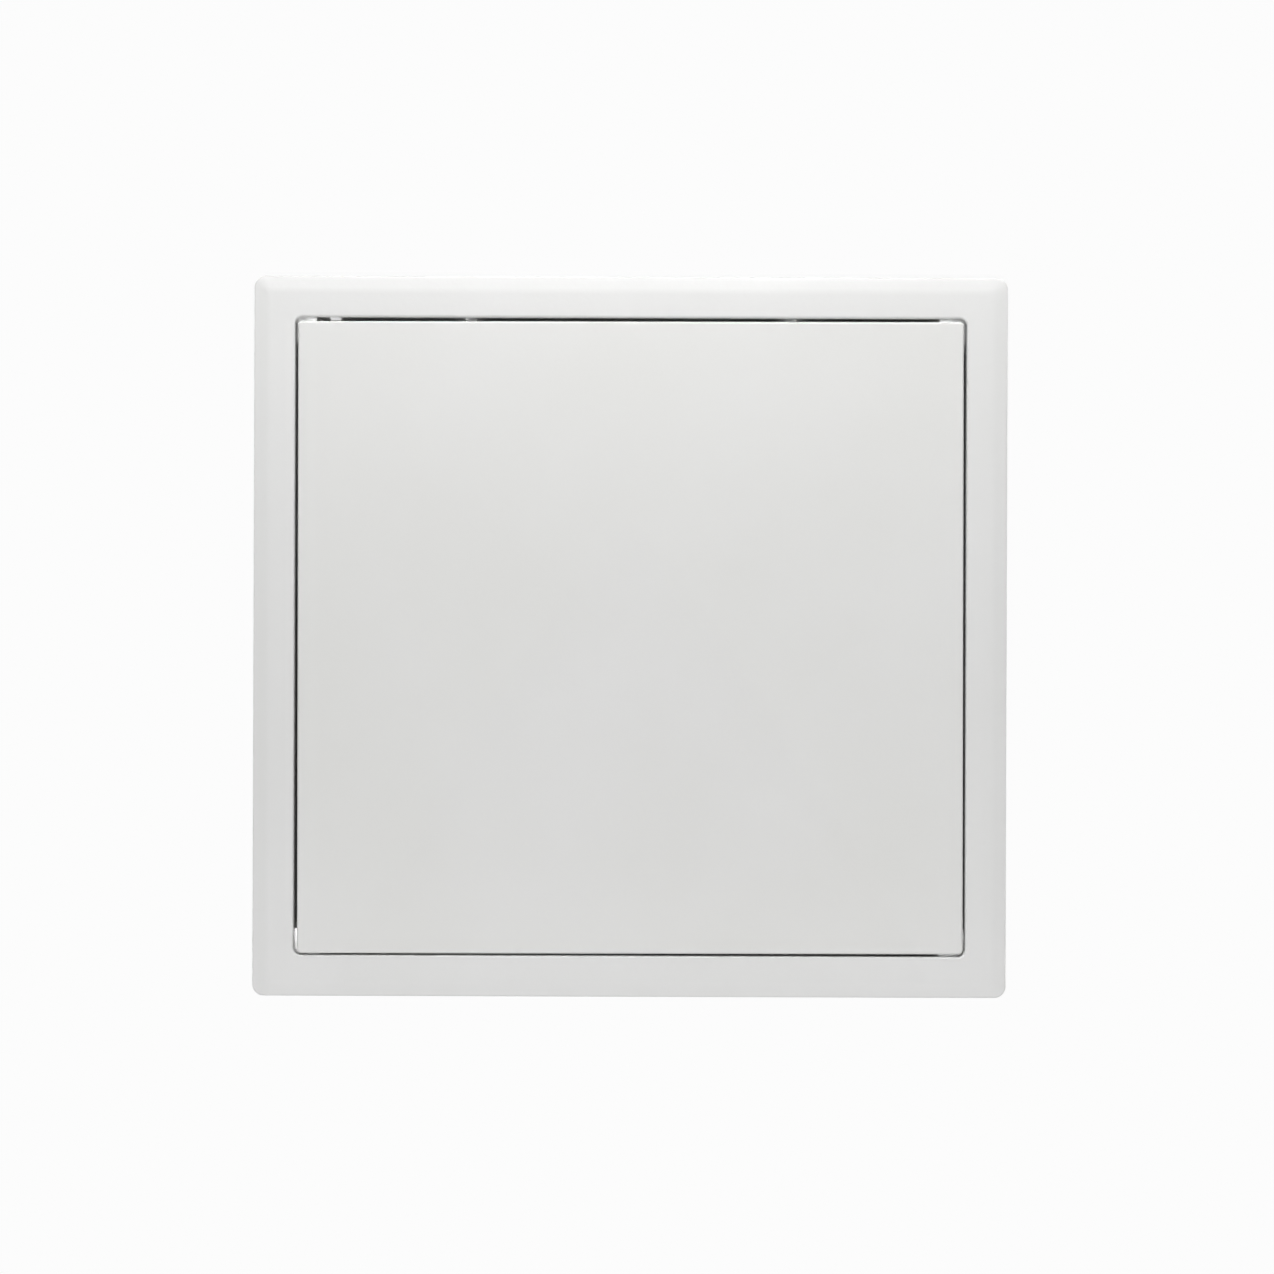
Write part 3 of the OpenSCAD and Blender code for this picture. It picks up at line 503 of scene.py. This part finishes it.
def weld_bead(across, up):
    """The rippled bead down the outside of a mitred corner, under the coat."""
    shape = bmesh.new()
    rounds, lengths = 14, 96
    bmesh.ops.create_grid(shape, x_segments=rounds, y_segments=lengths, size=0.5)
    lean = math.radians(45)
    out = Vector((math.sin(lean), 0, math.cos(lean)))
    over = Vector((math.cos(lean), 0, -math.sin(lean)))
    corner = Vector((OPEN_W / 2 - OPEN_R, 0, OPEN_H / 2 - OPEN_R))
    centre = corner + out * (SHEET_T + OPEN_R - BEAD_SINK)
    for vert in shape.verts:
        turn = (vert.co.x + 0.5) * math.tau
        share = vert.co.y + 0.5
        back = BEAD_FIRST + BEAD_RUN * share
        taper = min(1.0, 0.35 + 7 * min(share, 1 - share))
        lag = back + 0.55 * abs(math.cos(turn))
        ripple = 0.14 * math.cos(math.tau * lag / BEAD_RIPPLE)
        swell = taper * (0.86 + ripple + 0.10 * noise.noise(Vector((back * 0.3, across, up))))
        spot = centre + out * BEAD_HALF_H * swell * math.sin(turn)
        spot += over * BEAD_HALF_W * swell * math.cos(turn)
        vert.co = Vector((across * spot.x, back, up * spot.z)) * MM
    bmesh.ops.remove_doubles(shape, verts=shape.verts, dist=1e-7)
    bmesh.ops.holes_fill(shape, edges=[e for e in shape.edges if e.is_boundary])
    bmesh.ops.recalc_face_normals(shape, faces=shape.faces)
    corner_name = ("right" if across > 0 else "left") + ("_top" if up > 0 else "_bottom")
    piece(shape, "weld_" + corner_name, FRAME_COAT, "frame", "painted", split=70)


def foam_strip(side):
    """A cut foam strip whose pressed face is a little uneven along its length."""
    shape = merged_copy("seal_" + side)
    low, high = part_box("seal_" + side)
    axis = 0 if high.x - low.x > high.z - low.z else 2
    length = (high[axis] - low[axis]) / MM
    count = int(length / FOAM_STEP)
    lines_across(shape, axis, [low[axis] / MM + length * i / count for i in range(1, count)])
    for vert in shape.verts:
        depth = (high.y - vert.co.y) / (high.y - low.y)
        if depth > 0.02:
            wave = noise.noise(vert.co * 60) * 0.14 + noise.noise(vert.co * 260) * 0.07
            vert.co.y += abs(wave) * MM * depth
    strip = piece(shape, side + "_foam_strip", FOAM, "frame", "foam", "seal_" + side, split=80)


for side, welds in (("top", 6), ("bottom", 6), ("left", 5), ("right", 5)):
    stop_angle(side, welds)
worked("corner_cleats", "corner_angles", 0.2, FRAME_COAT, "frame", "painted")
for across in (-1, 1):
    for up in (-1, 1):
        weld_bead(across, up)
for side in ("top", "bottom", "left", "right"):
    foam_strip(side)


# Door

def door_tray():
    """The folded tray, with the slight bow of thin sheet in its face and hung a little out of square."""
    shape = merged_copy("door_skin")
    low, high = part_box("door_skin")
    for axis in (0, 2):
        reach = high[axis] / MM
        lines_across(shape, axis, [-reach + 2 * reach * i / DOOR_LINES for i in range(1, DOOR_LINES)])
    inside = low.y + DOOR_FACE_DEPTH * MM
    for vert in shape.verts:
        if vert.co.y < inside:
            across = max(0.0, 1 - (vert.co.x / high.x) ** 2)
            along = max(0.0, 1 - (vert.co.z / high.z) ** 2)
            wave = 0.5 + 0.5 * noise.noise(Vector((vert.co.x * 7, 0.3, vert.co.z * 7)))
            vert.co.y += DOOR_BOW * MM * across * along * wave
    skew = Matrix.Rotation(math.radians(-DOOR_SKEW), 3, "Y")
    bmesh.ops.rotate(shape, cent=(0, 0, 0), matrix=skew, verts=shape.verts)
    piece(shape, "door_tray", DOOR_COAT, "door", "painted", "door_skin")


def door_hat(side):
    """A hat stiffener with spot-weld marks along both its feet."""
    low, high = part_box("door_stiffener_" + side)
    middle = (low.x + high.x) / 2 / MM
    first = low.z / MM + HAT_WELD_END
    step = ((high.z - low.z) / MM - 2 * HAT_WELD_END) / (HAT_WELDS - 1)
    marks = [((middle + reach, HAT_FOOT_Y, first + step * n), (0, 1, 0))
             for reach in (-HAT_FOOT_X, HAT_FOOT_X) for n in range(HAT_WELDS)]
    shape = eased(dented(merged_copy("door_stiffener_" + side), marks, 0.22), 0.15)
    piece(shape, "door_hat_" + side, DOOR_COAT, "door", "painted", "door_stiffener_" + side)


door_tray()
for side, sign in HANDS:
    door_hat(side)
    worked("hinge_leaf_" + side, "hinge_fork_" + side, 0.15, ZINC, "door", "zinc")
    worked("strike_plate_" + side, "strike_" + side, 0.25, STEEL, "door", "steel")
    worked("hinge_bracket_" + side, "hinge_arm_" + side, 0.3, ZINC, "frame", "zinc")
    worked("hinge_pin_" + side, "hinge_axle_" + side, 0.25, STEEL, "frame", "steel")


# Touch latches

def latch_body(side, sign):
    """The moulded housing, cored on three faces and opened out round the rod."""
    x, z = sign * LATCH_X, LATCH_Z
    core_first, core_long, core_pitch, core_deep = 24.6, 6.0, 7.2, 0.7
    cores = bmesh.new()
    for row in range(3):
        front = core_first + core_pitch * row
        back = front + core_long
        for up in (-1, 1):
            middle = z + up * LATCH_HALF_H
            block(cores, (x - 6.2, front, middle - core_deep), (x + 6.2, back, middle + core_deep))
        middle = x - sign * LATCH_HALF_W
        block(cores, (middle - core_deep, front, z - 5.2), (middle + core_deep, back, z + 5.2))
    rounded(cores, cores.edges[:], 0.5, 3)
    shape = cut(merged_copy("latch_housing_" + side), cores)
    mouth = bmesh.new()
    lathe(mouth, [(0, -1.0), (6.0, -1.0), (4.2, 0.8), (0, 0.8)], 48, facing(x, LATCH_FRONT_Y, z, (0, 1, 0)))
    shape = eased(cut(shape, mouth), 0.35, 50)
    piece(shape, "latch_body_" + side, HOUSING, "frame", "housing", "latch_housing_" + side)


def latch_rear_cap(side, sign):
    """The push-in cap, with a dished middle and two slots for a blade."""
    x, z = sign * LATCH_X, LATCH_Z
    tools = bmesh.new()
    lathe(tools, [(0, -1.0), (5.2, -1.0), (4.8, 0.7), (0, 0.9)], 48, facing(x, LATCH_BACK_Y, z, (0, -1, 0)))
    for up in (-1, 1):
        edge = z + up * LATCH_HALF_H
        block(tools, (x - 2.5, LATCH_BACK_Y - 1.6, edge - 0.8), (x + 2.5, LATCH_BACK_Y - 0.6, edge + 0.8))
    shape = eased(cut(merged_copy("latch_cap_" + side), tools), 0.35, 50)
    piece(shape, "latch_rear_cap_" + side, HOUSING, "frame", "housing", "latch_cap_" + side)


def coil_spring(side, sign):
    """A wound wire with closed ends, which the rod presses towards the cap."""
    shape = bmesh.new()
    wire, radius, turn_steps = 0.55, 4.0, 28
    first, last = 26.9, 44.4
    open_turns, close_pitch = 5, 1.12
    open_pitch = (last - first - 2 * close_pitch) / open_turns
    x, z = sign * LATCH_X, LATCH_Z
    ring = bmesh.ops.create_circle(shape, cap_ends=False, segments=12, radius=wire * MM,
                                   matrix=Matrix.Translation(Vector((x + radius, first, z)) * MM))
    ends = ring["verts"] + shape.edges[:]
    for turns, pitch in ((1, close_pitch), (open_turns, open_pitch), (1, close_pitch)):
        spun = bmesh.ops.spin(shape, geom=ends, cent=Vector((x, 0, z)) * MM, axis=(0, 1, 0),
                              dvec=(0, pitch / turn_steps * MM, 0), angle=math.tau * turns,
                              steps=turn_steps * turns, use_merge=False, use_duplicate=False)
        ends = spun["geom_last"]
    bmesh.ops.holes_fill(shape, edges=[e for e in shape.edges if e.is_boundary])
    bmesh.ops.recalc_face_normals(shape, faces=shape.faces)
    made = piece(shape, "latch_coil_" + side, STEEL, "frame", "steel", "latch_spring_" + side, split=60)
    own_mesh(made)


for side, sign in HANDS:
    body = "latch_plunger_" + side
    worked("latch_bracket_" + side, "latch_angle_" + side, 0.2, ZINC, "frame", "zinc")
    latch_body(side, sign)
    latch_rear_cap(side, sign)
    coil_spring(side, sign)
    worked("latch_plunger_" + side, "latch_rod_" + side, 0.3, PLUNGER, body, "plunger")
    worked("latch_magnet_" + side, "latch_disc_" + side, 0.2, NICKEL, body, "magnet")


# Small fasteners

def blind_rivets(name, node, grip, places):
    """Domed rivets with the broken stem in the head and the set bulb behind the sheet."""
    shape = bmesh.new()
    stem = [(0, -0.55), (0.5, -0.60), (0.78, -0.55), (0.84, -0.94)]
    dome = [(1.05, -1.0), (1.6, -0.94), (2.2, -0.76), (2.65, -0.5), (2.92, -0.22), (3.0, 0.0)]
    bulb = [(2.2, 0), (2.4, 0.3), (2.36, 0.7), (2.0, 1.05), (1.3, 1.25), (0.7, 1.3), (0, 1.3)]
    outline = stem + dome + [(1.6, 0.0), (1.6, grip)] + [(r, grip + h) for r, h in bulb]
    for x, y, z, way in places:
        lathe(shape, outline, 40, facing(x, y, z, (0, 0, way)))
    piece(shape, name, ALUMINIUM, "frame", "rivet", node, split=50)


def cross_screws(name, node, body, length, places):
    """Pan-head screws with a cross recess and a rolled thread."""
    shape = bmesh.new()
    drive = bmesh.new()
    head = [(0, 1.6), (0.9, 1.58), (1.6, 1.48), (2.15, 1.25), (2.48, 0.88), (2.6, 0.45), (2.58, 0.1),
            (2.48, 0.0)]
    half_pitch = 0.3
    crests = int((length - 0.45) / half_pitch)
    thread = [(1.4 if n % 2 == 0 else 1.08, -0.15 - half_pitch * n) for n in range(crests)]
    outline = head + [(1.4, 0.0)] + thread + [(0.7, -length), (0, -length)]
    for x, y, z, way in places:
        place = facing(x, y, z, way)
        lathe(shape, outline, 40, place)
        for turn in (0, 90):
            arm = bmesh.ops.create_cube(drive, size=1.0)["verts"]
            for vert in arm:
                wide, thick, height = (2.2, 0.5, 0.55) if vert.co.z < 0 else (3.1, 0.8, 1.9)
                vert.co = Vector((vert.co.x * wide, vert.co.y * thick, height)) * MM
            spin = Matrix.Rotation(math.radians(turn + 20 * x + 31 * y), 4, "Z")
            bmesh.ops.transform(drive, matrix=place @ spin, verts=arm)
    piece(cut(shape, drive, crossed=True), name, STEEL, body, "steel", node, split=40)


def star_clips():
    """Dished push-on rings with six grips on each hinge axle."""
    shape = bmesh.new()
    slots = bmesh.new()
    outline = [(2.2, 0.0), (2.2, 0.32), (1.98, 0.36), (1.70, 0.62), (1.54, 0.80), (1.52, 0.52), (1.72, 0.22),
               (1.92, 0.0)]
    for sign in (-1, 1):
        place = facing(sign * (HINGE_X - RING_X), HINGE_Y, HINGE_Z, (-sign, 0, 0))
        lathe(shape, outline, 48, place, loop=True)
        for n in range(6):
            arm = bmesh.ops.create_cube(slots, size=1.0)["verts"]
            for vert in arm:
                vert.co = Vector((1.2 + (vert.co.x + 0.5) * 0.68, vert.co.y * 0.26, vert.co.z * 3)) * MM
            turn = Matrix.Rotation(math.radians(60 * n), 4, "Z")
            bmesh.ops.transform(slots, matrix=place @ turn, verts=arm)
    piece(cut(shape, slots), "hinge_star_rings", STEEL, "frame", "steel", "hinge_clips", split=35)


blind_rivets("hinge_blind_rivets", "hinge_rivets", HINGE_FOOT_T + SHEET_T,
             [(sign * (HINGE_X + x), BRACKET_Y, OPEN_H / 2 - HINGE_FOOT_T, 1)
              for sign in (-1, 1) for x in (-HINGE_RIVET_X, HINGE_RIVET_X)])
blind_rivets("latch_blind_rivets", "latch_rivets", LATCH_FOOT_T + SHEET_T,
             [(sign * (LATCH_X + LATCH_RIVET_X), BRACKET_Y + y, LATCH_FOOT_T - OPEN_H / 2, -1)
              for sign in (-1, 1) for y in (-LATCH_FIX_Y, LATCH_FIX_Y)])
cross_screws("latch_cross_screws", "latch_screws", "frame", 4.3,
             [(sign * (LATCH_X + LATCH_SCREW_X), BRACKET_Y + y, LATCH_Z, (sign, 0, 0))
              for sign in (-1, 1) for y in (-LATCH_FIX_Y, LATCH_FIX_Y)])
cross_screws("strike_cross_screws", "strike_screws", "door", 4.5,
             [(sign * LATCH_X + x, STRIKE_Y, LATCH_Z, (0, 1, 0))
              for sign in (-1, 1) for x in (-STRIKE_SCREW_X, STRIKE_SCREW_X)])
star_clips()


# Stage, light and camera, in metres

PAPER = shade(252)
FLOOR_Z = -0.62
FLOOR_HALF = 30.0
FADE_FROM, FADE_TO = 0.15, 0.95  # ring over which the floor turns into plain paper
PHOTO_PX = 1274
SHIFT_X_PX, SHIFT_Y_PX = 6.95, -0.1
VIEW_SPAN = 0.7584  # width of the picture at the face
ROLL = 0.20  # degrees


def is_seen(tree):
    """One for rays from the camera and for mirrored and refracted rays, else nought."""
    path = tree.nodes.new("ShaderNodeLightPath")
    value = path.outputs["Is Camera Ray"]
    for other in ("Is Glossy Ray", "Is Transmission Ray"):
        add = tree.nodes.new("ShaderNodeMath")
        add.operation = "MAXIMUM"
        tree.links.new(value, add.inputs[0])
        tree.links.new(path.outputs[other], add.inputs[1])
        value = add.outputs[0]
    return value


def mixed(tree, share, first, second, out):
    """Shows the second shader by its share and the first for the rest."""
    mix = tree.nodes.new("ShaderNodeMixShader")
    tree.links.new(share, mix.inputs["Fac"])
    tree.links.new(first.outputs[0], mix.inputs[1])
    tree.links.new(second.outputs[0], mix.inputs[2])
    tree.links.new(mix.outputs[0], out.inputs["Surface"])


def floor():
    """A pale floor that keeps the shadow under the object and fades into the white background."""
    shape = bmesh.new()
    bmesh.ops.create_grid(shape, x_segments=1, y_segments=1, size=FLOOR_HALF)
    mesh = bpy.data.meshes.new("floor")
    shape.to_mesh(mesh)
    shape.free()
    made = bpy.data.objects.new("floor", mesh)
    made.location = (0, 0, FLOOR_Z)
    bpy.context.scene.collection.objects.link(made)
    material = bpy.data.materials.new("floor_paper")
    material.use_nodes = True
    tree = material.node_tree
    tree.nodes.remove(tree.nodes["Principled BSDF"])
    matt = tree.nodes.new("ShaderNodeBsdfDiffuse")
    matt.inputs["Color"].default_value = (0.8, 0.8, 0.8, 1)
    glow = tree.nodes.new("ShaderNodeEmission")
    glow.inputs["Color"].default_value = (*PAPER, 1)
    place = tree.nodes.new("ShaderNodeTexCoord")
    reach = tree.nodes.new("ShaderNodeVectorMath")
    reach.operation = "LENGTH"
    tree.links.new(place.outputs["Object"], reach.inputs[0])
    pool = tree.nodes.new("ShaderNodeMapRange")
    pool.interpolation_type = "SMOOTHSTEP"
    for key, number in (("From Min", FADE_FROM), ("From Max", FADE_TO), ("To Min", 0.62), ("To Max", 1.0)):
        pool.inputs[key].default_value = number
    tree.links.new(reach.outputs["Value"], pool.inputs["Value"])
    share = tree.nodes.new("ShaderNodeMath")
    share.operation = "MULTIPLY"
    tree.links.new(is_seen(tree), share.inputs[0])
    tree.links.new(pool.outputs["Result"], share.inputs[1])
    mixed(tree, share.outputs[0], matt, glow, tree.nodes["Material Output"])
    mesh.materials.append(material)


def world(strength):
    """Even light all round, with white paper where the background is seen."""
    sky = bpy.data.worlds.new("studio")
    bpy.context.scene.world = sky
    sky.use_nodes = True
    tree = sky.node_tree
    plain = tree.nodes["Background"]
    plain.inputs["Color"].default_value = (1, 1, 1, 1)
    plain.inputs["Strength"].default_value = strength
    paper = tree.nodes.new("ShaderNodeBackground")
    paper.inputs["Color"].default_value = (*PAPER, 1)
    paper.inputs["Strength"].default_value = 1.0
    mixed(tree, is_seen(tree), plain, paper, tree.nodes["World Output"])


def lamp(name, place, target, size, power, spread=180.0):
    """A soft panel lamp that faces a target; a spread below 180 degrees shades it like a grid."""
    data = bpy.data.lights.new(name, "AREA")
    data.shape = "RECTANGLE"
    data.size, data.size_y = size
    data.energy = power
    data.spread = math.radians(spread)
    made = bpy.data.objects.new(name, data)
    made.location = place
    made.rotation_mode = "QUATERNION"
    made.rotation_quaternion = (Vector(target) - Vector(place)).to_track_quat("-Z", "Y")
    bpy.context.scene.collection.objects.link(made)
    made.visible_camera = False


def camera():
    """Square on to the face, with the small roll and offset of the photograph."""
    data = bpy.data.cameras.new("camera")
    data.lens = 100
    data.sensor_width = 36
    data.shift_x, data.shift_y = SHIFT_X_PX / PHOTO_PX, SHIFT_Y_PX / PHOTO_PX
    made = bpy.data.objects.new("camera", data)
    bpy.context.scene.collection.objects.link(made)
    made.location = (0, -RISE * MM - VIEW_SPAN * data.lens / data.sensor_width, 0)
    made.rotation_mode = "QUATERNION"
    upright = Matrix.Rotation(math.radians(90), 3, "X")
    made.rotation_quaternion = (upright @ Matrix.Rotation(math.radians(ROLL), 3, "Z")).to_quaternion()
    bpy.context.scene.camera = made


floor()
world(0.18)
lamp("top_strip", (0, -0.40, 0.75), (0, 0, 0.20), (1.8, 0.12), 2.5, 75)
lamp("top_middle", (0.02, -0.16, 0.46), (0, 0, 0.20), (0.22, 0.06), 0.15)
lamp("low_fill", (0, -0.60, -0.49), (0, 0, -0.18), (1.7, 0.12), 3.15)
lamp("front_fill", (0, -2.6, 0.5), (0, 0, 0), (1.2, 1.2), 7.4)
lamp("rear_fill", (0, 1.7, -0.12), (0, 0, 0), (2.4, 0.5), 17.0)
for side, sign in HANDS:
    lamp("side_fill_" + side, (1.9 * sign, 0.75, 0.35), (0, 0.03, 0), (0.9, 0.9), 6.5)
camera()
bpy.context.scene.view_settings.view_transform = "Standard"
